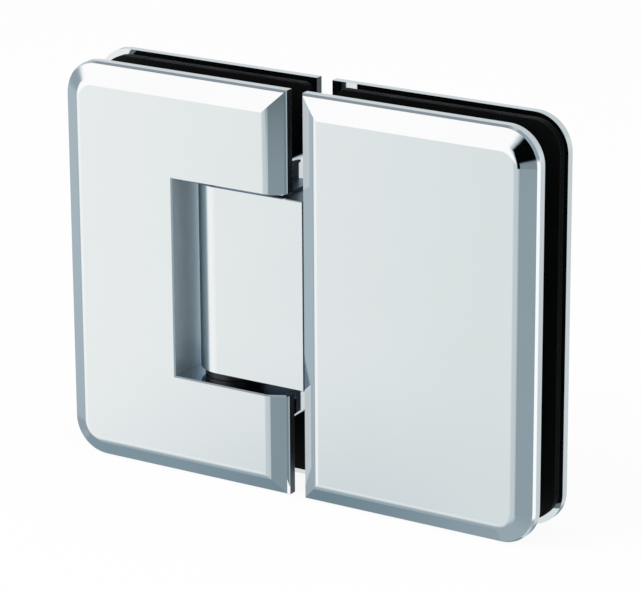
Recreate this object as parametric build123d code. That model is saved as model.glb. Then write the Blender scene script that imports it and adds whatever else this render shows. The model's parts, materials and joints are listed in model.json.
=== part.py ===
"""Glass door hinge, 180 degree glass to glass, with a sprung self-centring knuckle.

Millimetres. X runs along the hinge, Y through its thickness (the front faces -Y), Z is up. The origin is
at the middle of the bottom edge, on the glass's middle plane and halfway across the gap between leaves.
The fork leaf lies on -X and carries the pin. The panel leaf lies on +X and carries the knuckle.
"""

import os
from math import sqrt

from build123d import *

# --- leaves -----------------------------------------------------------------------------------------
leaf_height = 90.0
leaf_width = 56.0
leaf_gap = 3.8
plate_thickness = 4.4
bevel_width = 4.1
bevel_depth = 2.1
corner_radius = 8.0
face_round = 3.0
land_break = 0.45

# --- glass and gaskets ------------------------------------------------------------------------------
glass_thickness = 8.0
gasket_thickness = 1.0
gasket_inset = 1.4
gasket_corner = 2.0
cutout_clearance = 1.5

# --- fork, with its notch and the inner boss that rims it --------------------------------------------
notch_height = 44.5
notch_depth = 27.7
notch_break = 0.3
pin_setback = 18.1
boss_wall = 7.0
boss_end_inset = 1.0
boss_corner = 1.5
pin_seat_depth = 5.5

# --- knuckle, pin and bearings ----------------------------------------------------------------------
knuckle_recess = 1.9
knuckle_edge = 0.2
upper_washer_thickness = 0.55
lower_washer_thickness = 1.5
washer_radius = 6.6
running_gap = 0.1
pin_radius = 4.0
pin_chamfer = 0.4
pin_fit = 0.05
bush_wall = 1.0
bush_length = 7.0

# --- self-centring detent ---------------------------------------------------------------------------
detent_flat_depth = 0.7
nose_clearance = 0.15
bar_length = 6.6
bar_width = 6.4
bar_height = 24.0
bar_slide_gap = 0.1
bar_nose_chamfer = 0.8
spring_names = ("inner", "middle", "outer")
spring_arc_radius = 40.0
spring_thickness = 0.8
spring_height = 23.0
spring_nest_gap = 0.1
spring_end_gap = 0.05

# --- low-head cap screws of the leaves and the grub screws that lock the pin -------------------------
screw_radius = 2.5
screw_length = 12.0
screw_head_radius = 4.25
screw_head_height = 2.4
screw_hole_gap = 0.25
screw_sink = 0.15
screw_socket = 3.0
screw_socket_depth = 2.0
screw_tip_gap = 0.6
screw_offset = 4.8
ear_radius = 5.6
ear_gap = 0.1
lock_radius = 2.5
lock_length = 5.0
lock_socket = 2.5
lock_socket_depth = 2.2
lock_flat_depth = 0.9

# --- worked out from the sizes above ----------------------------------------------------------------
FORK, PANEL = -1, 1
place_tolerance = 0.001
STANDING = (Align.CENTER, Align.CENTER, Align.MIN)
FROM_LEFT = (Align.MIN, Align.CENTER, Align.CENTER)
mid_z = leaf_height / 2
clamp_half = glass_thickness / 2 + gasket_thickness
face_y = clamp_half + plate_thickness
notch_half = notch_height / 2
knuckle_radius = face_y - knuckle_recess
knuckle_height = notch_height - upper_washer_thickness - lower_washer_thickness - 2 * running_gap
knuckle_mid_z = mid_z + (lower_washer_thickness - upper_washer_thickness) / 2
pin_x = -(leaf_gap / 2 + pin_setback)
pin_height = 2 * (notch_half + pin_seat_depth)
bore_radius = pin_radius + pin_fit + bush_wall
screw_setback = notch_depth + screw_offset
screw_rise = notch_half + screw_offset
screw_seat_y = face_y - screw_sink - screw_head_height
lock_rise = notch_half + pin_seat_depth / 2
bar_nose_x = pin_x + pin_radius + nose_clearance
bar_back_x = bar_nose_x + bar_length
spring_pitch = spring_thickness + spring_nest_gap
spring_hollow_radius = spring_arc_radius - spring_thickness
spring_bow = spring_arc_radius - sqrt(spring_hollow_radius**2 - (spring_height / 2) ** 2)
spring_room = (len(spring_names) - 1) * spring_pitch + spring_bow + 2 * spring_end_gap
pocket_end_x = bar_back_x + spring_room


def on_leaf(side, setback):
    """X of a place that lies setback from the leaf's gap edge."""
    return side * (leaf_gap / 2 + setback)


def along_y(shape, x, y, z):
    """A shape modelled up Z, turned to run towards +Y (the rear) from the given point."""
    return Pos(x, y, z) * Rot(-90, 0, 0) * shape


def rod(radius, length):
    """A plain cylinder that stands on the local origin."""
    return Cylinder(radius, length, align=STANDING)


def rear(front):
    """The rear twin of a front piece."""
    return mirror(front, about=Plane.XZ)


# --- plan shapes, drawn on the XZ plane -------------------------------------------------------------
def leaf_outline(side, inset, outer_radius, gap_radius=0.0):
    """A leaf's outline: rounded at its two outer corners, square or barely rounded at the gap."""
    sheet = Rectangle(leaf_width - 2 * inset, leaf_height - 2 * inset)
    sheet = Pos(on_leaf(side, leaf_width / 2), mid_z) * sheet
    outer, gap = (0, -1) if side == FORK else (-1, 0)
    sheet = fillet(sheet.vertices().group_by(Axis.X)[outer], outer_radius)
    if gap_radius:
        sheet = fillet(sheet.vertices().group_by(Axis.X)[gap], gap_radius)
    return sheet


def notch_outline(side):
    """The notch, from its blind wall out past the gap edge."""
    reach = notch_depth + leaf_gap / 2
    return Pos(side * reach / 2, mid_z) * Rectangle(reach, notch_height)


def rim_outline(side):
    """The block that fills the glass cut-out: the notch grown by its wall."""
    width = notch_depth + boss_wall - boss_end_inset
    block = Rectangle(width, notch_height + 2 * boss_wall)
    block = Pos(on_leaf(side, boss_end_inset + width / 2), mid_z) * block
    return fillet(block.vertices(), boss_corner)


def screw_places(side):
    """X and Z of a leaf's two screws, upper first, just off the notch's inner corners."""
    return [(on_leaf(side, screw_setback), mid_z + rise) for rise in (screw_rise, -screw_rise)]


def ear_outline(side):
    """Round lugs about the two screws."""
    return Sketch() + [Pos(x, z) * Circle(ear_radius) for x, z in screw_places(side)]


def slab(outline, y_front, y_rear):
    """An outline as a plate between two depths."""
    return extrude(Plane.XZ.offset(-y_rear) * outline, y_rear - y_front)


# --- holes and screws -------------------------------------------------------------------------------
def cap_screw():
    """A low-head hex-socket cap screw, seated on the local origin with its shank down, unthreaded."""
    shank = Pos(0, 0, -screw_length) * rod(screw_radius, screw_length)
    socket = extrude(RegularPolygon(screw_socket / sqrt(3), 6), -screw_socket_depth)
    return rod(screw_head_radius, screw_head_height) + shank - Pos(0, 0, screw_head_height) * socket


def screw_entry():
    """What a leaf screw needs in the rear plate: a counterbore and a clearance hole."""
    bore = rod(screw_head_radius + screw_hole_gap, face_y - screw_seat_y)
    hole = Pos(0, 0, -screw_seat_y) * rod(screw_radius + screw_hole_gap, screw_seat_y)
    return bore + hole


def leaf_screws(side):
    """The two screws of a leaf, upper first."""
    return [along_y(cap_screw(), x, screw_seat_y, z) for x, z in screw_places(side)]


def tapped_ears(side):
    """Blind tapped holes in the front piece, from the middle plane to just past the screws' tips."""
    depth = screw_length - screw_seat_y + screw_tip_gap
    return [along_y(rod(screw_radius, depth), x, -depth, z) for x, z in screw_places(side)]


def entry_holes(side):
    """Counterbored clearance holes for a leaf's screws."""
    return [along_y(screw_entry(), x, screw_seat_y, z) for x, z in screw_places(side)]


def pin_seat():
    """The room for the pin in the fork's two fingers."""
    return Pos(pin_x, 0, mid_z) * Cylinder(pin_radius, pin_height)


# --- plates -----------------------------------------------------------------------------------------
def edges_at(shape, axis, place):
    """The edges of a shape that have both ends at one place along an axis."""
    ends = shape.vertices().filter_by_position(axis, place - place_tolerance, place + place_tolerance)
    return shape.edges().filter_by(lambda edge: all(end in ends for end in edge.vertices()))


def plate_blank(side):
    """A front plate with its broad bevel on all four sides and every edge polished soft."""
    plate = slab(leaf_outline(side, 0, corner_radius), -face_y, -clamp_half)
    face = plate.faces().sort_by(Axis.Y)[0]
    plate = chamfer(face.edges(), bevel_width, bevel_depth, reference=face)
    plate = fillet(edges_at(plate, Axis.Y, -face_y), face_round)
    return chamfer(edges_at(plate, Axis.Y, bevel_depth - face_y), land_break)


def notch_rim(plate):
    """The edges where the fork's notch comes out through the plate's face, bevel and land."""
    wall = edges_at(plate, Axis.X, on_leaf(FORK, notch_depth))
    fingers = edges_at(plate, Axis.Z, mid_z - notch_half) + edges_at(plate, Axis.Z, mid_z + notch_half)
    inner_corners = [edge for edge in fingers if edge in wall]
    rim = [edge for edge in wall + fingers if edge not in inner_corners]
    return [edge for edge in rim if edge.center().Y < -clamp_half]


def notched_plate():
    """The front plate of the fork with the half of the boss that rims its notch."""
    plate = plate_blank(FORK) - slab(notch_outline(FORK), -face_y, 0)
    plate = chamfer(notch_rim(plate), notch_break)
    return plate + slab(rim_outline(FORK) + ear_outline(FORK) - notch_outline(FORK), -clamp_half, 0)


def fork_front():
    """Front plate of the fork, tapped from behind."""
    return notched_plate() - tapped_ears(FORK) - pin_seat()


def fork_rear():
    """Rear plate of the fork: the same form, with counterbores and the lock screws' holes."""
    locks = [
        along_y(rod(lock_radius, face_y), pin_x, 0, mid_z + rise) for rise in (lock_rise, -lock_rise)
    ]
    return rear(notched_plate()) - entry_holes(FORK) - locks - pin_seat()


def panel_front():
    """Front plate of the panel leaf, with two tapped bosses behind it."""
    plate = plate_blank(PANEL) + slab(ear_outline(PANEL), -clamp_half, 0)
    return plate - tapped_ears(PANEL)


def panel_rear():
    """Rear plate of the panel leaf, counterbored for its screws."""
    return rear(plate_blank(PANEL)) - entry_holes(PANEL)


def front_gasket(side):
    """Soft sheet behind a front plate, cut away round what fills the glass cut-out."""
    radius = corner_radius - gasket_inset
    sheet = leaf_outline(side, gasket_inset, radius, gasket_corner)
    filled = rim_outline(side) + ear_outline(side) + notch_outline(side)
    sheet -= offset(filled, cutout_clearance)
    return slab(sheet, -clamp_half, -glass_thickness / 2)


# --- pin and bearings -------------------------------------------------------------------------------
def hinge_pin():
    """The pin: round where it turns, with a detent flat in the middle and a lock flat at each end."""
    pin = Cylinder(pin_radius, pin_height)
    pin = chamfer(pin.edges().filter_by(GeomType.CIRCLE), pin_chamfer)
    wide = 2 * pin_radius
    flat = Box(wide, wide, bar_height + 2 * bar_slide_gap, align=FROM_LEFT)
    pin -= Pos(pin_radius - detent_flat_depth, 0, 0) * flat
    lock = Box(wide, wide, pin_seat_depth, align=(Align.CENTER, Align.MIN, Align.CENTER))
    for rise in (lock_rise, -lock_rise):
        pin -= Pos(0, pin_radius - lock_flat_depth, rise) * lock
    return Pos(pin_x, 0, mid_z) * pin


def lock_screw(rise):
    """A hex-socket grub screw that bears on one of the pin's end flats."""
    socket = extrude(RegularPolygon(lock_socket / sqrt(3), 6), -lock_socket_depth)
    grub = rod(lock_radius, lock_length) - Pos(0, 0, lock_length) * socket
    return along_y(grub, pin_x, pin_radius - lock_flat_depth, mid_z + rise)


def bush(top):
    """A plain bearing pressed into one end of the barrel."""
    ring = Cylinder(bore_radius, bush_length) - Cylinder(pin_radius + pin_fit, bush_length)
    rise = (knuckle_height - bush_length) / 2
    return Pos(pin_x, 0, knuckle_mid_z + (rise if top else -rise)) * ring


def thrust_washer(top):
    """The washer between the barrel's end and the fork's finger; the lower, loaded one is the thicker."""
    thickness = upper_washer_thickness if top else lower_washer_thickness
    ring = Cylinder(washer_radius, thickness) - Cylinder(pin_radius + pin_fit, thickness)
    rise = (knuckle_height + thickness) / 2
    return Pos(pin_x, 0, knuckle_mid_z + (rise if top else -rise)) * ring


# --- knuckle and detent -----------------------------------------------------------------------------
def knuckle_block():
    """The barrel and the flat-sided block behind it, up to the panel leaf's edge."""
    reach = leaf_gap / 2 - pin_x
    plan = Circle(knuckle_radius) + Pos(reach / 2, 0) * Rectangle(reach, 2 * knuckle_radius)
    block = extrude(plan, knuckle_height / 2, both=True)
    ends = block.faces().filter_by(Axis.Z).edges()
    outline = [edge for edge in ends if edge.center().X < reach - knuckle_edge]
    return Pos(pin_x, 0, knuckle_mid_z) * chamfer(outline, knuckle_edge)


def knuckle_tongue():
    """The tongue that lies in the glass cut-out, clamped between the panel leaf's plates."""
    root = Pos(boss_end_inset, knuckle_mid_z) * Rectangle(2 * boss_end_inset, knuckle_height)
    root = Pos(leaf_gap / 2, 0) * root
    tongue = slab(rim_outline(PANEL) + ear_outline(PANEL) + root, -clamp_half, clamp_half)
    for x, z in screw_places(PANEL):
        tongue -= along_y(rod(ear_radius + ear_gap, clamp_half), x, -clamp_half, z)
        tongue -= along_y(rod(screw_radius + screw_hole_gap, clamp_half), x, 0, z)
    return tongue


def knuckle_body():
    """Barrel, block and tongue in one casting; the bar and springs go in through the pin's bore."""
    bore = Pos(pin_x, 0, knuckle_mid_z) * Cylinder(bore_radius, knuckle_height)
    wide, tall = (size + 2 * bar_slide_gap for size in (bar_width, bar_height))
    pocket = Pos(pin_x, 0, mid_z) * Box(pocket_end_x - pin_x, wide, tall, align=FROM_LEFT)
    return knuckle_block() + knuckle_tongue() - (bore + pocket)


def detent_bar():
    """The bar that the springs push against the pin, drawn back as it stands off the pin's round."""
    bar = Box(bar_length, bar_width, bar_height, align=FROM_LEFT)
    nose = bar.faces().sort_by(Axis.X)[0].edges().filter_by(Axis.Z)
    return Pos(bar_nose_x, 0, mid_z) * chamfer(nose, bar_nose_chamfer)


def leaf_springs():
    """Bowed strips nested behind the bar, crowns towards it, the innermost first."""
    strip = Circle(spring_arc_radius) - Circle(spring_hollow_radius)
    strip &= Pos(-spring_arc_radius, 0) * Rectangle(2 * spring_arc_radius, spring_height)
    first_x = bar_back_x + spring_end_gap + spring_arc_radius
    centres = [first_x + place * spring_pitch for place in range(len(spring_names))]
    return [slab(Pos(x, mid_z) * strip, -bar_width / 2, bar_width / 2) for x in centres]


# --- the whole hinge --------------------------------------------------------------------------------
def hinge_pieces():
    """Every piece by its node's name."""
    fork_screws = leaf_screws(FORK)
    panel_screws = leaf_screws(PANEL)
    springs = {f"detent_spring_{name}": leaf for name, leaf in zip(spring_names, leaf_springs())}
    return {
        "fork_front_plate": fork_front(),
        "fork_rear_plate": fork_rear(),
        "fork_front_gasket": front_gasket(FORK),
        "fork_rear_gasket": rear(front_gasket(FORK)),
        "fork_screw_upper": fork_screws[0],
        "fork_screw_lower": fork_screws[1],
        "hinge_pin": hinge_pin(),
        "pin_lock_screw_upper": lock_screw(lock_rise),
        "pin_lock_screw_lower": lock_screw(-lock_rise),
        "knuckle_body": knuckle_body(),
        "bush_upper": bush(True),
        "bush_lower": bush(False),
        "thrust_washer_upper": thrust_washer(True),
        "thrust_washer_lower": thrust_washer(False),
        "detent_bar": detent_bar(),
        **springs,
        "panel_front_plate": panel_front(),
        "panel_rear_plate": panel_rear(),
        "panel_front_gasket": front_gasket(PANEL),
        "panel_rear_gasket": rear(front_gasket(PANEL)),
        "panel_screw_upper": panel_screws[0],
        "panel_screw_lower": panel_screws[1],
    }


os.makedirs("parts", exist_ok=True)
for node, piece in hinge_pieces().items():
    export_step(piece, f"parts/{node}.step")
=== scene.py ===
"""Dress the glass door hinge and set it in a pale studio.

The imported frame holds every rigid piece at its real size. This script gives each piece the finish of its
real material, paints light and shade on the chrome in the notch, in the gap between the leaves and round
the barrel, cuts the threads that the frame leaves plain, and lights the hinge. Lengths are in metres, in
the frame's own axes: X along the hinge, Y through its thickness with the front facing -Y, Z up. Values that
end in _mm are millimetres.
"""

from __future__ import annotations

import json
import logging
import math
from dataclasses import dataclass, field
from enum import Enum

import bpy
from mathutils import Euler, Matrix, Vector

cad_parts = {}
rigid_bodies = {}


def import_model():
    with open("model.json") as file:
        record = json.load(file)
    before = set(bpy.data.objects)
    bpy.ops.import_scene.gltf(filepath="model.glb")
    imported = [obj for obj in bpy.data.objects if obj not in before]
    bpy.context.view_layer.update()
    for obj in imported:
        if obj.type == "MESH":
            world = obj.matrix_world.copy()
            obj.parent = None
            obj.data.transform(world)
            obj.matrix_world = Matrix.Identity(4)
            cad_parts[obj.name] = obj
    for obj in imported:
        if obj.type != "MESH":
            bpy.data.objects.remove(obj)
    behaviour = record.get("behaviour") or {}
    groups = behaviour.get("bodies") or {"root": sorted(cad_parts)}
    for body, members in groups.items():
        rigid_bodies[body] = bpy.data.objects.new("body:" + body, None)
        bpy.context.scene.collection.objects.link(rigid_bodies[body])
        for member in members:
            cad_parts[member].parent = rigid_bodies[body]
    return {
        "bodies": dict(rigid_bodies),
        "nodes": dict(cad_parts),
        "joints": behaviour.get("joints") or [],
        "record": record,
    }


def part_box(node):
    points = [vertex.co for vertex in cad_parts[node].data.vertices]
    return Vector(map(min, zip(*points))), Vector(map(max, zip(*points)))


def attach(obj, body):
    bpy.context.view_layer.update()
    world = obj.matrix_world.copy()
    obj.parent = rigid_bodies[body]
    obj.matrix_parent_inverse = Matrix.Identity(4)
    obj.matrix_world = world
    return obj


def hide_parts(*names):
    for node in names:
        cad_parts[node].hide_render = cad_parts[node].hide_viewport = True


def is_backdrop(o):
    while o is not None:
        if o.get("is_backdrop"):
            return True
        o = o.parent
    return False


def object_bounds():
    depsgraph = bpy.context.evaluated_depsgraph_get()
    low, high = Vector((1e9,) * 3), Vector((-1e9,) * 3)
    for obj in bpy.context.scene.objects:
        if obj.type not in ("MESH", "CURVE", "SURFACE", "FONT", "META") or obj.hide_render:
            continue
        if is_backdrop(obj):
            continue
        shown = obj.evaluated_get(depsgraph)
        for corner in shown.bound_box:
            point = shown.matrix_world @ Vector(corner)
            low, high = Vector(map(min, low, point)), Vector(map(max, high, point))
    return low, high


MM = 0.001
# The screws' own attribute: the distance along the lathe tool's path, in metres.
LATHE_ATTRIBUTE = "lathe_reach"
SCREW_SLOT = "stainless_screw"
# Facets that meet at less than this angle are shaded as one round surface.
SMOOTH_UP_TO_DEGREES = 32.0
# The sides of the screws' sockets.
HEXAGON = 6
# Further than any part of the hinge reaches from the origin, in metres.
FAR = 1.0
# The node that works out one number.
MATH = "ShaderNodeMath"
# The wave texture turns this many radians for each unit of its scale.
WAVE_RADIANS = 20
# The buffing wheel drags its fine lines out along X.
BUFFING_DRAG = (0.06, 1.0, 1.0)
# The band of the noise over which roughness goes from its lowest to its highest.
NOISE_LOW, NOISE_HIGH = 0.3, 0.7
LOG = logging.getLogger("glass_door_hinge")


def linear(hex_colour: str) -> tuple[float, float, float, float]:
    """Turn an sRGB hex colour into the linear RGBA that the shaders take.

    Args:
        hex_colour: a colour such as "#C0C8CC".

    Returns:
        Red, green, blue and an alpha of 1.
    """
    channels = [int(hex_colour[i : i + 2], 16) / 255 for i in (1, 3, 5)]
    light = [c / 12.92 if c <= 0.04045 else ((c + 0.055) / 1.055) ** 2.4 for c in channels]
    return (*light, 1.0)


def add_node(tree: bpy.types.NodeTree, kind: str, inputs: dict | None = None, **settings) -> bpy.types.Node:
    """Add a node with its settings, and link or set its inputs.

    Args:
        tree: the node tree that takes the node.
        kind: the node's type, such as "ShaderNodeMath".
        inputs: values or output sockets, by the input's name or number.
        settings: the node's own settings, such as operation.

    Returns:
        The new node.
    """
    node = tree.nodes.new(kind)
    for name, value in settings.items():
        setattr(node, name, value)
    for key, value in (inputs or {}).items():
        if isinstance(value, bpy.types.NodeSocket):
            tree.links.new(value, node.inputs[key])
        else:
            node.inputs[key].default_value = value
    return node


@dataclass(frozen=True)
class PaintedLight:
    """Painted light or shade on the chrome plate: a colour that stands in for how bright the plate looks
    there.

    Attributes:
        colour: its colour, as sRGB hex.
        roughness: its roughness.
    """

    colour: str
    roughness: float


# Painted light and shade on the chrome: the notch's wall is painted light and made satin at its mouth,
# painted grey shade half way through, and its floor and ceiling get a lighter painted shade. The gap
# between the leaves is painted dark shade, and the barrel's ends and hidden side are painted grey shade.
NOTCH_WALL_PAINTED_LIGHT = PaintedLight("#F6FCFF", 0.55)
NOTCH_MIDDLE_PAINTED_SHADE = PaintedLight("#A8BBC7", 0.42)
NOTCH_LEDGE_PAINTED_SHADE = PaintedLight("#A4B2BF", 0.12)
GAP_FACE_PAINTED_SHADE = PaintedLight("#3A444C", 0.35)
BARREL_END_PAINTED_SHADE = PaintedLight("#7F8D9A", 0.35)
BARREL_SIDE_PAINTED_SHADE = PaintedLight("#8A9DA6", 0.4)


@dataclass(frozen=True)
class PaintedLightBox:
    """A block of space in which the chrome is painted with light or shade.

    Attributes:
        low: its lowest corner, in metres.
        high: its highest corner, in metres.
        painted_look: how the plate looks in it.
        fade: how deep from its front and its back that look comes on, in metres.
    """

    low: tuple[float, float, float]
    high: tuple[float, float, float]
    painted_look: PaintedLight
    fade: float = 0.0

    def mask(self, tree: bpy.types.NodeTree, place: bpy.types.NodeSocket) -> bpy.types.NodeSocket:
        """Build the nodes that tell whether a place is in the box.

        Args:
            tree: the material's node tree.
            place: the Object coordinates, in metres.

        Returns:
            The socket that is 0 outside the box and 1 in it, or rises to 1 over the depth of the fade.
        """
        low, high = Vector(self.low), Vector(self.high)
        steps = (("SUBTRACT", (low + high) / 2), ("ABSOLUTE", None), ("SUBTRACT", (high - low) / 2))
        for operation, term in steps:
            terms = {0: place} if term is None else {0: place, 1: term}
            place = add_node(tree, "ShaderNodeVectorMath", terms, operation=operation).outputs[0]
        past = add_node(tree, "ShaderNodeSeparateXYZ", {0: place}).outputs
        level = add_node(tree, MATH, {0: past[0], 1: past[1]}, operation="MAXIMUM").outputs[0]
        furthest = add_node(tree, MATH, {0: level, 1: past[2]}, operation="MAXIMUM").outputs[0]
        inside = add_node(tree, MATH, {0: furthest, 1: 0.0}, operation="LESS_THAN").outputs[0]
        if not self.fade:
            return inside
        depth = {"Value": past[1], "From Min": 0.0, "From Max": -self.fade}
        share = add_node(tree, "ShaderNodeMapRange", depth, interpolation_type="SMOOTHSTEP").outputs[0]
        return add_node(tree, MATH, {0: inside, 1: share}, operation="MULTIPLY").outputs[0]


# --- finishes ----------------------------------------------------------------------------------------
class Grain(Enum):
    """How a surface was worked, which sets the pattern of its fine relief."""

    BUFFED = "buffed"
    MOULDED = "moulded"
    TURNED = "turned"
    LATHED = "lathed"
    PEENED = "peened"
    SINTERED = "sintered"


@dataclass(frozen=True)
class Finish:
    """A real material with the way its surface was made.

    Attributes:
        name: the material's name.
        colour: its colour, as sRGB hex.
        second_colour: the colour that its slow variation drifts to.
        metallic: 1 for bare or plated metal.
        roughness: the lowest and highest roughness across the surface.
        grain: how the surface was worked.
        grain_mm: the spacing of the fine relief.
        relief_mm: the height of the fine relief.
        drift_mm: the size of the slow variation in colour and roughness.
        specular: the strength of its gloss where it isn't metal.
    """

    name: str
    colour: str
    second_colour: str
    metallic: float
    roughness: tuple[float, float]
    grain: Grain
    grain_mm: float
    relief_mm: float
    drift_mm: float
    specular: float = 0.5

    def relief(self, tree: bpy.types.NodeTree, place: bpy.types.NodeSocket) -> bpy.types.NodeSocket:
        """Build the height pattern of the fine relief.

        Args:
            tree: the material's node tree.
            place: the Object coordinates, in metres.

        Returns:
            The socket that carries the height, from 0 to 1.
        """
        scale = 1 / (self.grain_mm * MM)
        if self.grain is Grain.LATHED:
            reach = add_node(tree, "ShaderNodeAttribute", attribute_name=LATHE_ATTRIBUTE).outputs["Fac"]
            turn = add_node(tree, MATH, {0: reach, 1: math.tau * scale}, operation="MULTIPLY").outputs[0]
            return add_node(tree, MATH, {0: turn}, operation="SINE").outputs[0]
        if self.grain is Grain.BUFFED:
            place = add_node(tree, "ShaderNodeMapping", {"Vector": place, "Scale": BUFFING_DRAG}).outputs[0]
        if self.grain is Grain.TURNED:
            rings = add_node(
                tree,
                "ShaderNodeTexWave",
                {"Vector": place, "Scale": scale / WAVE_RADIANS, "Distortion": 0.6, "Detail": 2.0},
                wave_type="BANDS",
                bands_direction="Z",
            )
            return rings.outputs["Fac"]
        if self.grain is Grain.SINTERED:
            pores = add_node(tree, "ShaderNodeTexVoronoi", {"Vector": place, "Scale": scale})
            depth = {0: pores.outputs["Distance"], 1: 0.5}
            return add_node(tree, MATH, depth, operation="MINIMUM").outputs[0]
        detail = 2.0 if self.grain is Grain.MOULDED else 4.0
        noise = add_node(tree, "ShaderNodeTexNoise", {"Vector": place, "Scale": scale, "Detail": detail})
        return noise.outputs["Fac"]

    def build(self, painted_light_boxes: tuple[PaintedLightBox, ...] = ()) -> bpy.types.Material:
        """Make the material.

        Args:
            painted_light_boxes: where the surface is painted with light or shade.

        Returns:
            The material.
        """
        material = bpy.data.materials.new(self.name)
        material.use_nodes = True
        tree = material.node_tree
        tree.nodes.clear()
        place = add_node(tree, "ShaderNodeTexCoord").outputs["Object"]
        drift = add_node(
            tree,
            "ShaderNodeTexNoise",
            {"Vector": place, "Scale": 1 / (self.drift_mm * MM), "Detail": 3.0},
        ).outputs["Fac"]
        colour = add_node(
            tree,
            "ShaderNodeMix",
            {0: drift, 6: linear(self.colour), 7: linear(self.second_colour)},
            data_type="RGBA",
        ).outputs[2]
        low, high = self.roughness
        rough = add_node(
            tree,
            "ShaderNodeMapRange",
            {"Value": drift, "From Min": NOISE_LOW, "From Max": NOISE_HIGH, "To Min": low, "To Max": high},
        ).outputs[0]
        # Paint the light or shade of each box over the plate's own colour and roughness.
        for painted_box in painted_light_boxes:
            painted_share = painted_box.mask(tree, place)
            painted_tints = {0: painted_share, 6: colour, 7: linear(painted_box.painted_look.colour)}
            colour = add_node(tree, "ShaderNodeMix", painted_tints, data_type="RGBA").outputs[2]
            sheens = {0: painted_share, 2: rough, 3: painted_box.painted_look.roughness}
            rough = add_node(tree, "ShaderNodeMix", sheens).outputs[0]
        bump = add_node(
            tree,
            "ShaderNodeBump",
            {"Height": self.relief(tree, place), "Distance": self.relief_mm * MM, "Strength": 1.0},
        ).outputs[0]
        shader = add_node(
            tree,
            "ShaderNodeBsdfPrincipled",
            {
                "Base Color": colour,
                "Metallic": self.metallic,
                "Roughness": rough,
                "Specular IOR Level": self.specular,
                "Normal": bump,
            },
        )
        add_node(tree, "ShaderNodeOutputMaterial", {"Surface": shader.outputs[0]})
        return material


# Castings plated with chromium over nickel and buffed: an almost clear mirror, faintly blue. In the notch,
# the gap between the leaves and round the barrel, painted light and shade stand in for how the light falls
# there.
CHROME_PLATE = Finish(
    name="polished_chrome_with_painted_light_and_shade",
    colour="#C6CDD2",
    second_colour="#C3CACF",
    metallic=1.0,
    roughness=(0.035, 0.055),
    grain=Grain.BUFFED,
    grain_mm=1.2,
    relief_mm=0.0006,
    drift_mm=22.0,
)
# Moulded black elastomer sheet: matt, with the fine grain of its mould.
RUBBER = Finish(
    name="moulded_black_rubber",
    colour="#030404",
    second_colour="#070808",
    metallic=0.0,
    roughness=(0.62, 0.75),
    grain=Grain.MOULDED,
    grain_mm=0.35,
    relief_mm=0.03,
    drift_mm=9.0,
    specular=0.15,
)
# Stainless steel screws, cold headed and turned: a satin sheen with fine rings.
STAINLESS_SCREW = Finish(
    name="turned_stainless_steel",
    colour="#B4B7B9",
    second_colour="#A9ACAF",
    metallic=1.0,
    roughness=(0.18, 0.28),
    grain=Grain.LATHED,
    grain_mm=0.22,
    relief_mm=0.0015,
    drift_mm=3.0,
)
# Ground steel: brighter and smoother than the screws, with faint rings left by the wheel.
GROUND_STEEL = Finish(
    name="ground_steel",
    colour="#C6C8CA",
    second_colour="#BCBEC1",
    metallic=1.0,
    roughness=(0.12, 0.2),
    grain=Grain.TURNED,
    grain_mm=0.08,
    relief_mm=0.002,
    drift_mm=5.0,
)
# Hardened spring strip, shot peened: dark grey with a fine dimpled skin.
SPRING_STEEL = Finish(
    name="peened_spring_steel",
    colour="#7E8083",
    second_colour="#6C6E72",
    metallic=1.0,
    roughness=(0.3, 0.42),
    grain=Grain.PEENED,
    grain_mm=0.3,
    relief_mm=0.01,
    drift_mm=2.0,
)
# Oil-filled sintered bronze: dull gold, pitted by its pores.
SINTERED_BRONZE = Finish(
    name="sintered_bronze",
    colour="#B08A55",
    second_colour="#9C7745",
    metallic=1.0,
    roughness=(0.35, 0.5),
    grain=Grain.SINTERED,
    grain_mm=0.25,
    relief_mm=0.02,
    drift_mm=2.5,
)
# Turned black acetal: a waxy low sheen.
ACETAL = Finish(
    name="turned_black_acetal",
    colour="#17181A",
    second_colour="#1D1F21",
    metallic=0.0,
    roughness=(0.32, 0.42),
    grain=Grain.TURNED,
    grain_mm=0.15,
    relief_mm=0.006,
    drift_mm=4.0,
)

FINISH_OF_SLOT = {
    "chrome_plate": CHROME_PLATE,
    "gasket_rubber": RUBBER,
    SCREW_SLOT: STAINLESS_SCREW,
    "pin_steel": GROUND_STEEL,
    "spring_steel": SPRING_STEEL,
    "bronze_bush": SINTERED_BRONZE,
    "acetal_washer": ACETAL,
}


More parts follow.
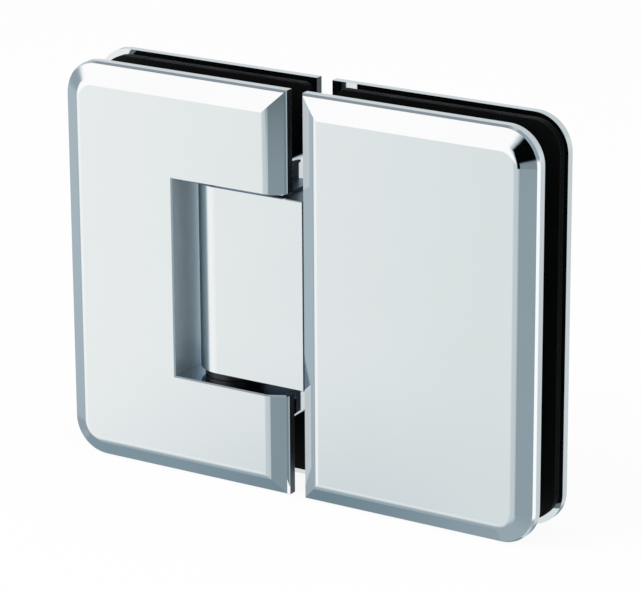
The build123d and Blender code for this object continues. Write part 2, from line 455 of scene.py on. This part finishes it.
# --- screws ------------------------------------------------------------------------------------------
@dataclass(frozen=True)
class ThreadedScrew:
    """A hex-socket screw whose head stands on +Z above its seat and whose thread runs down from it.

    Attributes:
        name: the name of the mesh that holds the screws of one kind on one body.
        body: the body that they move with.
        stands_for: the frame's plain screws that they take the place of.
        thread_radius_mm: the thread's outer radius.
        pitch_mm: the distance from turn to turn.
        head_radius_mm: the head's radius.
        head_height_mm: the head's height above its seat.
        edge_break_mm: the chamfer round the head's top.
        socket_mm: the hexagon's width across its flats.
        socket_depth_mm: how deep the hexagon goes.
        facets: the flats that make up a turn of the thread.
    """

    name: str
    body: str
    stands_for: tuple[str, ...]
    thread_radius_mm: float
    pitch_mm: float
    head_radius_mm: float
    head_height_mm: float
    edge_break_mm: float
    socket_mm: float
    socket_depth_mm: float
    facets: int = 40

    def seats(self) -> list[Vector]:
        """Find the middle of each screw's seat in the frame, on the face under its head.

        Returns:
            The places, in metres.
        """
        places = []
        for node in self.stands_for:
            low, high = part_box(node)
            middle = (low + high) / 2
            places.append(Vector((middle.x, high.y - self.head_height_mm * MM, middle.z)))
        return places

    def thread_length(self) -> float:
        """Measure how far the thread runs from the seat to the tip, in metres."""
        low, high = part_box(self.stands_for[0])
        return high.y - low.y - self.head_height_mm * MM

    def sizes(self) -> dict[str, float]:
        """List the tree's inputs.

        Returns:
            Their values in metres, by name.
        """
        return {
            "Thread Radius": self.thread_radius_mm * MM,
            "Thread Length": self.thread_length(),
            "Pitch": self.pitch_mm * MM,
            "Head Radius": self.head_radius_mm * MM,
            "Head Height": self.head_height_mm * MM,
            "Edge Break": self.edge_break_mm * MM,
            "Socket Radius": self.socket_mm / math.sqrt(3) * MM,
            "Socket Depth": self.socket_depth_mm * MM,
        }

    def build(self, material: bpy.types.Material) -> bpy.types.Object:
        """Make the screws of this kind as one plain mesh.

        Args:
            material: what the screws are made of.

        Returns:
            The object that holds the screws in place.
        """
        tree = ScrewTree(self.facets).build(tuple(self.sizes()))
        points = bpy.data.meshes.new(f"{self.name}_seats")
        points.from_pydata(self.seats(), [], [])
        source = bpy.data.objects.new(f"{self.name}_source", points)
        bpy.context.scene.collection.objects.link(source)
        modifier = source.modifiers.new("screws", "NODES")
        modifier.node_group = tree
        values = self.sizes() | {"Material": material}
        for socket in tree.interface.items_tree:
            if socket.in_out == "INPUT" and socket.name in values:
                modifier[socket.identifier] = values[socket.name]
        bpy.context.view_layer.update()
        depsgraph = bpy.context.evaluated_depsgraph_get()
        mesh = bpy.data.meshes.new_from_object(source.evaluated_get(depsgraph), depsgraph=depsgraph)
        bpy.data.objects.remove(source)
        mesh.materials.clear()
        mesh.materials.append(material)
        mesh.polygons.foreach_set("material_index", [0] * len(mesh.polygons))
        mesh.set_sharp_from_angle(angle=math.radians(SMOOTH_UP_TO_DEGREES))
        screws = bpy.data.objects.new(self.name, mesh)
        bpy.context.scene.collection.objects.link(screws)
        return screws

    def fit(self, material: bpy.types.Material) -> None:
        """Put the screws in the frame in place of its plain ones.

        Args:
            material: what the screws are made of.
        """
        screws = self.build(material)
        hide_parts(*self.stands_for)
        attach(screws, self.body)
        LOG.info("%s: %d faces on %s", self.name, len(screws.data.polygons), self.body)


@dataclass(frozen=True)
class ScrewTree:
    """The Geometry Nodes that turn and cut one screw, and set it on each seat.

    Attributes:
        facets: the flats that make up a turn.
        thread_depth: the thread's depth as a share of its pitch.
        root_width: the thread's width at its root as a share of its pitch.
        crest_width: its width at its crest, likewise.
        overlap: how far the thread's root sinks into the core, likewise.
        plain_end: the length left plain at the seat and at the tip, likewise.
    """

    facets: int
    thread_depth: float = 0.54
    root_width: float = 0.86
    crest_width: float = 0.14
    overlap: float = 0.06
    plain_end: float = 0.75

    @staticmethod
    def raised(
        tree: bpy.types.NodeTree,
        piece: bpy.types.NodeSocket,
        height: bpy.types.NodeSocket,
    ) -> bpy.types.NodeSocket:
        """Move a piece up Z.

        Args:
            tree: the node tree.
            piece: the piece's geometry.
            height: how far it moves.

        Returns:
            The moved geometry.
        """
        lift = add_node(tree, "ShaderNodeCombineXYZ", {"Z": height}).outputs[0]
        return add_node(tree, "GeometryNodeTransform", {"Geometry": piece, "Translation": lift}).outputs[0]

    @staticmethod
    def disc(
        tree: bpy.types.NodeTree,
        radii: tuple[bpy.types.NodeSocket, bpy.types.NodeSocket],
        depth: bpy.types.NodeSocket,
        facets: int,
    ) -> bpy.types.NodeSocket:
        """Turn a closed disc that stands on the origin.

        Args:
            tree: the node tree.
            radii: the radius at its foot and at its top.
            depth: its height.
            facets: its number of sides.

        Returns:
            The disc's geometry.
        """
        shape = {"Vertices": facets, "Radius Bottom": radii[0], "Radius Top": radii[1], "Depth": depth}
        return add_node(tree, "GeometryNodeMeshCone", shape).outputs["Mesh"]

    def thread(self, tree: bpy.types.NodeTree, size: dict) -> bpy.types.NodeSocket:
        """Wind the thread round the core.

        Args:
            tree: the node tree.
            size: the sockets of the tree's inputs, by name.

        Returns:
            The thread's geometry.
        """
        pitch = size["Pitch"]
        shares = (
            self.thread_depth + self.overlap,
            self.root_width,
            self.crest_width,
            2 * self.plain_end,
            self.plain_end,
        )
        depth, root, crest, plain, start = (
            add_node(tree, MATH, {0: pitch, 1: share}, operation="MULTIPLY").outputs[0] for share in shares
        )
        run = add_node(tree, MATH, {0: size["Thread Length"], 1: plain}, operation="SUBTRACT").outputs[0]
        turns = add_node(tree, MATH, {0: run, 1: pitch}, operation="DIVIDE").outputs[0]
        half = add_node(tree, MATH, {0: depth, 1: 0.5}, operation="MULTIPLY").outputs[0]
        middle = add_node(tree, MATH, {0: size["Thread Radius"], 1: half}, operation="SUBTRACT").outputs[0]
        foot = add_node(tree, MATH, {0: start, 1: size["Thread Length"]}, operation="SUBTRACT").outputs[0]
        spiral = add_node(
            tree,
            "GeometryNodeCurveSpiral",
            {
                "Resolution": self.facets,
                "Rotations": turns,
                "Start Radius": middle,
                "End Radius": middle,
                "Height": run,
            },
        ).outputs[0]
        upright = add_node(tree, "GeometryNodeSetCurveNormal", {"Curve": spiral}, mode="Z_UP").outputs[0]
        section = add_node(
            tree,
            "GeometryNodeCurvePrimitiveQuadrilateral",
            {"Height": depth, "Bottom Width": root, "Top Width": crest, "Offset": 0.0},
            mode="TRAPEZOID",
        ).outputs[0]
        outwards = add_node(
            tree, "GeometryNodeTransform", {"Geometry": section, "Rotation": Euler((0, 0, -math.pi / 2))}
        ).outputs[0]
        ridge = add_node(
            tree,
            "GeometryNodeCurveToMesh",
            {"Curve": upright, "Profile Curve": outwards, "Fill Caps": True},
        ).outputs[0]
        return self.raised(tree, ridge, foot)

    def solid(self, tree: bpy.types.NodeTree, size: dict) -> bpy.types.NodeSocket:
        """Turn the core and the head, and sink the hexagon in the head.

        Args:
            tree: the node tree.
            size: the sockets of the tree's inputs, by name.

        Returns:
            The solid's geometry.
        """
        pitch, radius, length = size["Pitch"], size["Thread Radius"], size["Thread Length"]
        wide, high, broken = size["Head Radius"], size["Head Height"], size["Edge Break"]
        key_radius = size["Socket Radius"]
        depth = add_node(tree, MATH, {0: pitch, 1: self.thread_depth}, operation="MULTIPLY").outputs[0]
        core = add_node(tree, MATH, {0: radius, 1: depth}, operation="SUBTRACT").outputs[0]
        tip = add_node(tree, MATH, {0: length, 1: -1.0}, operation="MULTIPLY").outputs[0]
        shank = self.raised(tree, self.disc(tree, (core, core), length, self.facets), tip)
        side = add_node(tree, MATH, {0: high, 1: broken}, operation="SUBTRACT").outputs[0]
        head = self.disc(tree, (wide, wide), side, 2 * self.facets)
        top = add_node(tree, MATH, {0: wide, 1: broken}, operation="SUBTRACT").outputs[0]
        rim = self.raised(tree, self.disc(tree, (wide, top), broken, 2 * self.facets), side)
        floor = add_node(tree, MATH, {0: high, 1: size["Socket Depth"]}, operation="SUBTRACT").outputs[0]
        key = self.raised(tree, self.disc(tree, (key_radius, key_radius), high, HEXAGON), floor)
        flare = add_node(tree, MATH, {0: key_radius, 1: broken}, operation="ADD").outputs[0]
        reach = add_node(tree, MATH, {0: flare, 1: 2.0}, operation="MULTIPLY").outputs[0]
        point = add_node(tree, MATH, {0: high, 1: flare}, operation="SUBTRACT").outputs[0]
        mouth = self.raised(tree, self.disc(tree, (0.0, reach), reach, self.facets), point)
        whole = self.combine(tree, "UNION", shank, head, rim)
        return self.combine(tree, "DIFFERENCE", whole, key, mouth)

    @staticmethod
    def combine(
        tree: bpy.types.NodeTree,
        operation: str,
        first: bpy.types.NodeSocket,
        *others: bpy.types.NodeSocket,
    ) -> bpy.types.NodeSocket:
        """Join pieces to the first one, or cut them from it.

        Args:
            tree: the node tree.
            operation: "UNION" or "DIFFERENCE".
            first: the geometry that is kept.
            others: the pieces that are joined or cut.

        Returns:
            The resulting geometry.
        """
        kept = "Mesh 1" if operation == "DIFFERENCE" else "Mesh 2"
        boolean = add_node(
            tree, "GeometryNodeMeshBoolean", {kept: first}, operation=operation, solver="EXACT"
        )
        for piece in others:
            tree.links.new(piece, boolean.inputs["Mesh 2"])
        return boolean.outputs["Mesh"]

    def build(self, names: tuple[str, ...]) -> bpy.types.NodeTree:
        """Make the tree.

        Args:
            names: the names of its sizes.

        Returns:
            The tree, with one input for each size.
        """
        tree = bpy.data.node_groups.new("threaded_screw", "GeometryNodeTree")
        tree.interface.new_socket("Geometry", in_out="INPUT", socket_type="NodeSocketGeometry")
        for name in names:
            tree.interface.new_socket(name, in_out="INPUT", socket_type="NodeSocketFloat")
        tree.interface.new_socket("Material", in_out="INPUT", socket_type="NodeSocketMaterial")
        tree.interface.new_socket("Geometry", in_out="OUTPUT", socket_type="NodeSocketGeometry")
        size = add_node(tree, "NodeGroupInput").outputs
        screw = self.combine(tree, "UNION", self.solid(tree, size), self.thread(tree, size))
        place = add_node(tree, "GeometryNodeInputPosition").outputs[0]
        height = add_node(tree, "ShaderNodeSeparateXYZ", {0: place}).outputs[2]
        level = {0: place, 1: (1, 1, 0)}
        across = add_node(tree, "ShaderNodeVectorMath", level, operation="MULTIPLY").outputs[0]
        radius = add_node(tree, "ShaderNodeVectorMath", {0: across}, operation="LENGTH").outputs["Value"]
        reach = add_node(tree, MATH, {0: radius, 1: height}, operation="SUBTRACT").outputs[0]
        marked = add_node(
            tree,
            "GeometryNodeStoreNamedAttribute",
            {"Geometry": screw, "Name": LATHE_ATTRIBUTE, "Value": reach},
            data_type="FLOAT",
            domain="POINT",
        ).outputs[0]
        set_down = add_node(
            tree,
            "GeometryNodeInstanceOnPoints",
            {"Points": size["Geometry"], "Instance": marked, "Rotation": Euler((-math.pi / 2, 0, 0))},
        ).outputs[0]
        smooth = add_node(tree, "GeometryNodeSetShadeSmooth", {"Geometry": set_down}).outputs[0]
        real = add_node(tree, "GeometryNodeRealizeInstances", {"Geometry": smooth}).outputs[0]
        dressed = add_node(
            tree, "GeometryNodeSetMaterial", {"Geometry": real, "Material": size["Material"]}
        ).outputs[0]
        add_node(tree, "NodeGroupOutput", {"Geometry": dressed})
        return tree


LEAF_SCREW = {
    "thread_radius_mm": 2.5,
    "pitch_mm": 0.8,
    "head_radius_mm": 4.25,
    "head_height_mm": 2.4,
    "edge_break_mm": 0.3,
    "socket_mm": 3.0,
    "socket_depth_mm": 2.0,
}
SCREWS = (
    ThreadedScrew(
        name="fork_leaf_screws",
        body="fork_leaf",
        stands_for=("fork_screw_upper", "fork_screw_lower"),
        **LEAF_SCREW,
    ),
    ThreadedScrew(
        name="panel_leaf_screws",
        body="knuckle_leaf",
        stands_for=("panel_screw_upper", "panel_screw_lower"),
        **LEAF_SCREW,
    ),
    ThreadedScrew(
        name="pin_lock_screws",
        body="fork_leaf",
        stands_for=("pin_lock_screw_upper", "pin_lock_screw_lower"),
        thread_radius_mm=2.5,
        pitch_mm=0.8,
        head_radius_mm=2.4,
        head_height_mm=0.5,
        edge_break_mm=0.2,
        socket_mm=2.5,
        socket_depth_mm=2.2,
    ),
)


# --- the hinge ---------------------------------------------------------------------------------------
@dataclass
class GlassDoorHinge:
    """The whole hinge as it comes in the frame.

    Attributes:
        notch_depth_mm: how far the notch reaches into the fork leaf.
        running_gap_mm: the play between a washer and its finger of the fork.
        edge_break_mm: the small chamfer on the notch's edges.
        middle_half_mm: how far the painted grey shade mid-wall in the notch reaches to the front and back.
        painted_shade_side_mm: how much of the barrel's rounded end is painted with shade.
        skin_mm: how far past a face a box reaches to take it in.
        materials: each finish's material, by the record's slot.
    """

    frame: dict
    notch_depth_mm: float = 27.7
    running_gap_mm: float = 0.1
    edge_break_mm: float = 0.3
    middle_half_mm: float = 5.8
    painted_shade_side_mm: float = 5.0
    skin_mm: float = 0.02
    materials: dict[str, bpy.types.Material] = field(default_factory=dict)

    def painted_light_boxes(self) -> tuple[tuple[PaintedLightBox, ...], tuple[PaintedLightBox, ...]]:
        """Work out where the chrome is painted with light and shade.

        Returns:
            The boxes of painted light and shade on the leaves' plates, and those on the knuckle.
        """
        skin = self.skin_mm * MM
        plate_low, plate_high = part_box("fork_front_plate")
        barrel_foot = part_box("thrust_washer_lower")[1].z
        barrel_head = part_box("thrust_washer_upper")[0].z
        notch_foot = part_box("thrust_washer_lower")[0].z - self.running_gap_mm * MM - skin
        notch_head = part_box("thrust_washer_upper")[1].z + self.running_gap_mm * MM + skin
        wall = plate_high.x - self.notch_depth_mm * MM - skin
        gap = -plate_high.x + skin
        front = plate_low.y + self.edge_break_mm * MM
        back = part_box("fork_rear_plate")[1].y - self.edge_break_mm * MM
        half = self.middle_half_mm * MM
        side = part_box("knuckle_body")[0].x + self.painted_shade_side_mm * MM
        # Painted light and shade on the plates' chrome: over the notch's wall, its floor and ceiling, and
        # the gap between the leaves.
        plates_painted_light = (
            PaintedLightBox((wall, front, notch_foot), (gap, back, notch_head), NOTCH_WALL_PAINTED_LIGHT),
            PaintedLightBox((wall, -half, notch_foot), (wall + 2 * skin, half, notch_head), NOTCH_MIDDLE_PAINTED_SHADE, fade=half),
            PaintedLightBox((wall, front, notch_foot), (gap, back, notch_foot + 2 * skin), NOTCH_LEDGE_PAINTED_SHADE),
            PaintedLightBox((wall, front, notch_head - 2 * skin), (gap, back, notch_head), NOTCH_LEDGE_PAINTED_SHADE),
            PaintedLightBox((-gap, front, -FAR), (gap, back, FAR), GAP_FACE_PAINTED_SHADE),
        )
        # Painted shade on the knuckle's chrome: over the barrel's hidden side and its ends.
        knuckle_painted_shade = (
            PaintedLightBox((-FAR, -FAR, -FAR), (side, FAR, FAR), BARREL_SIDE_PAINTED_SHADE),
            PaintedLightBox((-FAR, -FAR, -FAR), (FAR, FAR, barrel_foot + skin), BARREL_END_PAINTED_SHADE),
            PaintedLightBox((-FAR, -FAR, barrel_head - skin), (FAR, FAR, FAR), BARREL_END_PAINTED_SHADE),
        )
        return plates_painted_light, knuckle_painted_shade

    def dress(self) -> None:
        """Give each of the frame's pieces its finish."""
        plates_painted_light, knuckle_painted_shade = self.painted_light_boxes()
        # The plates' chrome is painted with light and shade in the notch and the gap.
        for slot, finish in FINISH_OF_SLOT.items():
            self.materials[slot] = finish.build(plates_painted_light if finish is CHROME_PLATE else ())
        # The knuckle's chrome material carries its own painted shade.
        knuckle_chrome_painted_shade = CHROME_PLATE.build(knuckle_painted_shade)
        slots = {part["node"]: part["material_slot"] for part in self.frame["record"]["subparts"]}
        for name, piece in self.frame["nodes"].items():
            slot = slots[name]
            material = knuckle_chrome_painted_shade if name == "knuckle_body" else self.materials[slot]
            piece.data.materials.clear()
            piece.data.materials.append(material)
            LOG.info("%s: %s", name, material.name)

    def fit_screws(self) -> None:
        """Put threaded screws in place of the frame's plain ones."""
        for screw in SCREWS:
            screw.fit(self.materials[SCREW_SLOT])


# --- the studio --------------------------------------------------------------------------------------
@dataclass(frozen=True)
class Card:
    """A soft-edged panel of the studio, seen only in the polished metal.

    Attributes:
        part: what the panel is for.
        azimuth: degrees from the front, -Y, towards +X.
        elevation: degrees above the horizon.
        half_width: half of its width in degrees.
        half_height: half of its height in degrees.
        side_fade: the width in degrees over which its left and right edges fade.
        end_fade: the height in degrees over which its top and bottom edges fade.
        colour: the colour that it has in the chrome, as sRGB hex.
    """

    part: str
    azimuth: float
    elevation: float
    half_width: float
    half_height: float
    side_fade: float
    end_fade: float
    colour: str


def before_chrome(hex_colour: str) -> tuple[float, float, float, float]:
    """Work out the light that a card needs to have the given colour once the chrome has mirrored it.

    Args:
        hex_colour: the colour seen in the chrome, such as "#C0C8CC".

    Returns:
        Red, green, blue and an alpha of 1, as linear light.
    """
    seen, plate = linear(hex_colour), linear(CHROME_PLATE.colour)
    return tuple(light / share for light, share in zip(seen, plate))


# What the chrome shows where no card is.
ROOM_COLOUR = "#8E9EA7"
# Each card hides those before it where they overlap.
CARDS = (
    Card("wall behind", 180, 0, 75, 90, 30, 20, "#BFC9CE"),
    Card("floor behind", -148, -36, 38, 36, 14, 16, "#76858F"),
    Card("softbox behind", 130, -4, 17, 30, 10, 20, "#E6EBED"),
    Card("table edge behind", -142, -35, 18, 12, 12, 12, "#75848E"),
    Card("ceiling", -100, 62, 60, 14, 24, 18, "#86919A"),
    Card("table in front", -23, -66, 43, 27, 16, 16, "#95A6AE"),
    Card("table on the left", -82, -49, 16, 12, 10, 4, "#7E929D"),
    Card("table's dark edge", -72, -59, 8, 1, 4, 3, "#6C838D"),
    Card("left wall", -92, -14, 20, 8, 8, 8, "#A3B2BB"),
    Card("left wall's foot", -93, -27, 14, 5, 8, 6, "#8B99A6"),
    Card("lamp's spill", -9, -10, 24, 30, 20, 20, "#BECACE"),
    Card("softbox's dim rim", -38, -1, 18, 41, 12, 24, "#D8E0E1"),
    Card("softbox", -49, 3, 17, 37, 10, 20, "#E9EDEE"),
    Card("softbox's core", -50, -6, 7, 20, 10, 14, "#EFF3F4"),
    Card("softbox's lower corner", -32, -24, 3, 3, 5, 4, "#CAD4D8"),
    Card("upper softbox's fade", -33, 21, 31, 24, 22, 20, "#F1F5F6"),
    Card("upper softbox", -34, 12, 29, 23, 12, 6, "#FDFDFE"),
    Card("dark curtain", 21, -19, 4, 9, 4, 4, "#82929A"),
    Card("black flag", 23, 8, 19, 23, 6, 3, "#020303"),
    Card("flag's lit corner", 28, -9, 4, 6, 3, 4, "#7C8B93"),
    Card("strip light on the right", 85, -18, 12, 20, 10, 12, "#FAFDFE"),
)


@dataclass(frozen=True)
class Lamp:
    """A soft round lamp, which the metal doesn't mirror.

    Attributes:
        name: its name.
        azimuth: degrees from the front, -Y, towards +X.
        elevation: degrees above the horizon.
        distance: metres from the hinge's middle.
        size: its diameter in metres.
        power: its power in watts.
    """

    name: str
    azimuth: float
    elevation: float
    distance: float
    size: float
    power: float


LAMPS = (
    Lamp("key_lamp", -40, 50, distance=0.9, size=0.7, power=5.0),
    Lamp("fill_lamp", 75, 35, distance=1.0, size=0.9, power=2.5),
)


@dataclass
class Studio:
    """Floor, lamps, surroundings and camera.

    Attributes:
        low: the hinge's lowest corner.
        high: the hinge's highest corner.
        floor_size: the floor's width and depth in metres.
        floor_glow: how far the camera sees the floor as pure white, which leaves a faint soft shadow.
        ambient_light: the strength of the white light that matt surfaces get from all round.
        camera_azimuth: degrees from the front, -Y, towards +X.
        camera_elevation: degrees above the horizon.
        camera_roll: the camera's tilt about its own axis in degrees.
        camera_distance: metres from the point that the camera aims at.
        lens_mm: the lens's focal length.
        sensor_mm: the width of the camera's sensor.
        near_mm: the nearest distance that the camera sees.
        aim_offset_mm: the point that the camera aims at, from the hinge's middle.
    """

    low: Vector
    high: Vector
    floor_size: float = 6.0
    floor_glow: float = 0.93
    ambient_light: float = 0.55
    camera_azimuth: float = 31.734
    camera_elevation: float = 18.456
    camera_roll: float = -0.339
    camera_distance: float = 0.75387
    lens_mm: float = 198.95
    sensor_mm: float = 36.0
    near_mm: float = 10.0
    aim_offset_mm: tuple[float, float, float] = (1.537, 0.347, -1.537)

    @property
    def centre(self) -> Vector:
        """The middle of the hinge's box."""
        return (self.low + self.high) / 2

    def build_camera(self) -> None:
        """Place the camera at its angle and distance from a point near the hinge's middle."""
        azimuth, elevation = math.radians(self.camera_azimuth), math.radians(self.camera_elevation)
        forward = Vector(
            (
                -math.sin(azimuth) * math.cos(elevation),
                math.cos(azimuth) * math.cos(elevation),
                -math.sin(elevation),
            )
        )
        aim = self.centre + Vector(self.aim_offset_mm) * MM
        camera = bpy.data.objects.new("camera", bpy.data.cameras.new("camera"))
        camera.data.lens = self.lens_mm
        camera.data.sensor_width = self.sensor_mm
        camera.data.clip_start = self.near_mm * MM
        camera.location = aim - forward * self.camera_distance
        turn = forward.to_track_quat("-Z", "Y").to_matrix()
        camera.rotation_euler = (turn @ Matrix.Rotation(math.radians(self.camera_roll), 3, "Z")).to_euler()
        bpy.context.scene.collection.objects.link(camera)
        bpy.context.scene.camera = camera

    def build_lamps(self) -> None:
        """Hang the lamps, each facing the hinge's middle."""
        for plan in LAMPS:
            lamp = bpy.data.objects.new(plan.name, bpy.data.lights.new(plan.name, "AREA"))
            lamp.data.shape = "DISK"
            lamp.data.size = plan.size
            lamp.data.energy = plan.power
            lamp.visible_glossy = False
            turn = Euler((math.radians(90 - plan.elevation), 0, math.radians(plan.azimuth)))
            lamp.rotation_euler = turn
            lamp.location = self.centre + turn.to_matrix() @ Vector((0, 0, plan.distance))
            bpy.context.scene.collection.objects.link(lamp)

    def build_floor(self) -> None:
        """Lay a pale floor that stays white around the hinge's soft shadow."""
        half = self.floor_size / 2
        mesh = bpy.data.meshes.new("floor")
        corners = [(x * half, y * half, self.low.z) for x, y in ((-1, -1), (1, -1), (1, 1), (-1, 1))]
        mesh.from_pydata(corners, [], [(0, 1, 2, 3)])
        floor = bpy.data.objects.new("floor", mesh)
        floor.visible_glossy = False
        bpy.context.scene.collection.objects.link(floor)
        floor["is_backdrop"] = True
        material = bpy.data.materials.new("white_paper")
        material.use_nodes = True
        tree = material.node_tree
        tree.nodes.clear()
        matt = add_node(tree, "ShaderNodeBsdfDiffuse", {"Color": linear("#F2F2F2")})
        glow = add_node(tree, "ShaderNodeEmission", {"Color": linear("#FFFFFF")})
        seen = add_node(tree, "ShaderNodeLightPath").outputs["Is Camera Ray"]
        share = add_node(tree, MATH, {0: seen, 1: self.floor_glow}, operation="MULTIPLY").outputs[0]
        mix = add_node(tree, "ShaderNodeMixShader", {0: share, 1: matt.outputs[0], 2: glow.outputs[0]})
        add_node(tree, "ShaderNodeOutputMaterial", {"Surface": mix.outputs[0]})
        mesh.materials.append(material)

    def card_mask(
        self,
        tree: bpy.types.NodeTree,
        angles: tuple[bpy.types.NodeSocket, bpy.types.NodeSocket],
        card: Card,
    ) -> bpy.types.NodeSocket:
        """Work out how much of a card each direction meets.

        Args:
            tree: the world's node tree.
            angles: the sockets of the direction's azimuth and elevation in degrees.
            card: the card.

        Returns:
            The socket of the share, from 0 to 1.
        """
        centres = (card.azimuth, card.elevation)
        halves = (card.half_width, card.half_height)
        fades = (card.side_fade, card.end_fade)
        shares = []
        for angle, centre, half, fade in zip(angles, centres, halves, fades):
            turned = add_node(tree, MATH, {0: angle, 1: centre}, operation="SUBTRACT").outputs[0]
            turned = add_node(tree, MATH, {0: turned, 1: 180.0, 2: -180.0}, operation="WRAP").outputs[0]
            off = add_node(tree, MATH, {0: turned}, operation="ABSOLUTE").outputs[0]
            edge = {"Value": off, "From Min": half + fade / 2, "From Max": half - fade / 2}
            share = add_node(tree, "ShaderNodeMapRange", edge, interpolation_type="SMOOTHSTEP").outputs[0]
            shares.append(share)
        return add_node(tree, MATH, dict(enumerate(shares)), operation="MULTIPLY").outputs[0]

    def build_world(self) -> None:
        """Surround the hinge: white to the camera, soft grey to matt surfaces, and the cards to metal."""
        world = bpy.data.worlds.new("studio")
        bpy.context.scene.world = world
        world.use_nodes = True
        tree = world.node_tree
        tree.nodes.clear()
        direction = add_node(tree, "ShaderNodeTexCoord").outputs["Generated"]
        axes = add_node(tree, "ShaderNodeSeparateXYZ", {0: direction}).outputs
        front = add_node(tree, MATH, {0: axes[1], 1: -1.0}, operation="MULTIPLY").outputs[0]
        turn = add_node(tree, MATH, {0: axes[0], 1: front}, operation="ARCTAN2").outputs[0]
        rise = add_node(tree, MATH, {0: axes[2]}, operation="ARCSINE").outputs[0]
        azimuth = add_node(tree, MATH, {0: turn}, operation="DEGREES").outputs[0]
        elevation = add_node(tree, MATH, {0: rise}, operation="DEGREES").outputs[0]
        room = add_node(tree, "ShaderNodeRGB").outputs[0]
        room.default_value = before_chrome(ROOM_COLOUR)
        for card in CARDS:
            mask = self.card_mask(tree, (azimuth, elevation), card)
            room = add_node(
                tree,
                "ShaderNodeMix",
                {0: mask, 6: room, 7: before_chrome(card.colour)},
                data_type="RGBA",
                label=card.part,
            ).outputs[2]
        light = {"Color": linear("#FFFFFF"), "Strength": self.ambient_light}
        mirrored = add_node(tree, "ShaderNodeBackground", {"Color": room}).outputs[0]
        ambient = add_node(tree, "ShaderNodeBackground", light).outputs[0]
        white = add_node(tree, "ShaderNodeBackground", {"Color": linear("#FFFFFF")}).outputs[0]
        path = add_node(tree, "ShaderNodeLightPath").outputs
        rays = {0: path["Is Glossy Ray"], 1: path["Is Transmission Ray"]}
        sharp = add_node(tree, MATH, rays, operation="MAXIMUM").outputs[0]
        unseen = add_node(tree, "ShaderNodeMixShader", {0: sharp, 1: ambient, 2: mirrored}).outputs[0]
        parts = {0: path["Is Camera Ray"], 1: unseen, 2: white}
        whole = add_node(tree, "ShaderNodeMixShader", parts).outputs[0]
        add_node(tree, "ShaderNodeOutputWorld", {"Surface": whole})

    def build(self) -> None:
        """Make the whole studio."""
        scene = bpy.context.scene
        scene.view_settings.view_transform = "Standard"
        scene.cycles.glossy_bounces = 12
        self.build_camera()
        self.build_lamps()
        self.build_floor()
        self.build_world()


def main() -> None:
    """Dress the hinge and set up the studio."""
    logging.basicConfig(level=logging.INFO, format="%(message)s")
    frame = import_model()
    low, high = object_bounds()
    Studio(low, high).build()
    hinge = GlassDoorHinge(frame)
    hinge.dress()
    hinge.fit_screws()


if __name__ == "__main__":
    main()
